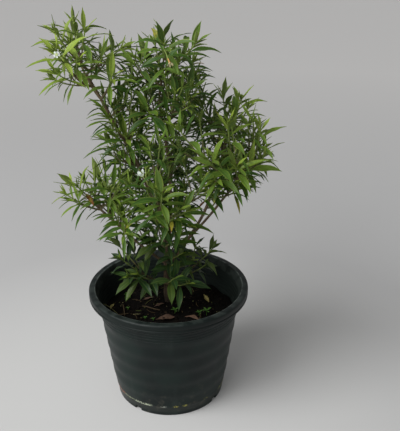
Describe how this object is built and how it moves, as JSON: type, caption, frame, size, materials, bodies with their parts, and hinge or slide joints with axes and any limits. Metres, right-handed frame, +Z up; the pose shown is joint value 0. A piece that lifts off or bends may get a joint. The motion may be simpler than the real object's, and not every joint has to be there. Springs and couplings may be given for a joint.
{
  "type": "potted crape jasmine",
  "caption": "Small white-flowered evergreen shrub with forked woody stems and whorls of narrow leaves, rooted in a tapered round plastic nursery pot.",
  "frame": {"origin": "centre of the pot's flat base, on the surface that it stands on", "axes": "+Z up along the pot's axis, +Y away from the front, +X to the right seen from the front"},
  "size_m": [0.506, 0.4299, 0.8784],
  "materials": {
    "pot_plastic": "satin",
    "potting_soil": "matte",
    "bark": "matte",
    "leaf": "satin",
    "petal": "matte",
    "dry_leaf": "matte",
    "seedling": "satin"
  },
  "bodies": {
    "root": {"bloom_bud": "petal", "bloom_centre": "petal", "bloom_high_left": "petal", "dry_leaf_1": "dry_leaf", "dry_leaf_2": "dry_leaf", "pot": "pot_plastic", "seedling_1": "seedling", "seedling_2": "seedling", "soil": "potting_soil", "spray_back_01": "leaf", "spray_back_02": "leaf", "spray_basal_01": "leaf", "spray_basal_02": "leaf", "spray_basal_03": "leaf", "spray_basal_04": "leaf", "spray_basal_05": "leaf", "spray_basal_06": "leaf", "spray_centre_01": "leaf", "spray_centre_02": "leaf", "spray_centre_03": "leaf", "spray_centre_04": "leaf", "spray_centre_05": "leaf", "spray_centre_06": "leaf", "spray_centre_07": "leaf", "spray_centre_08": "leaf", "spray_centre_09": "leaf", "spray_centre_10": "leaf", "spray_centre_11": "leaf", "spray_front_01": "leaf", "spray_front_02": "leaf", "spray_front_03": "leaf", "spray_high_left_01": "leaf", "spray_high_left_02": "leaf", "spray_high_left_03": "leaf", "spray_high_left_04": "leaf", "spray_high_left_05": "leaf", "spray_high_left_06": "leaf", "spray_high_left_07": "leaf", "spray_high_left_08": "leaf", "spray_high_left_09": "leaf", "spray_high_left_10": "leaf", "spray_high_left_11": "leaf", "spray_high_left_12": "leaf", "spray_low_left_01": "leaf", "spray_low_left_02": "leaf", "spray_low_left_03": "leaf", "spray_low_left_04": "leaf", "spray_low_left_05": "leaf", "spray_right_01": "leaf", "spray_right_02": "leaf", "spray_right_03": "leaf", "spray_right_04": "leaf", "spray_right_05": "leaf", "spray_right_06": "leaf", "spray_right_07": "leaf", "spray_right_08": "leaf", "spray_right_09": "leaf", "spray_right_10": "leaf", "spray_right_11": "leaf", "woody_stems": "bark"}
  },
  "joints": []
}
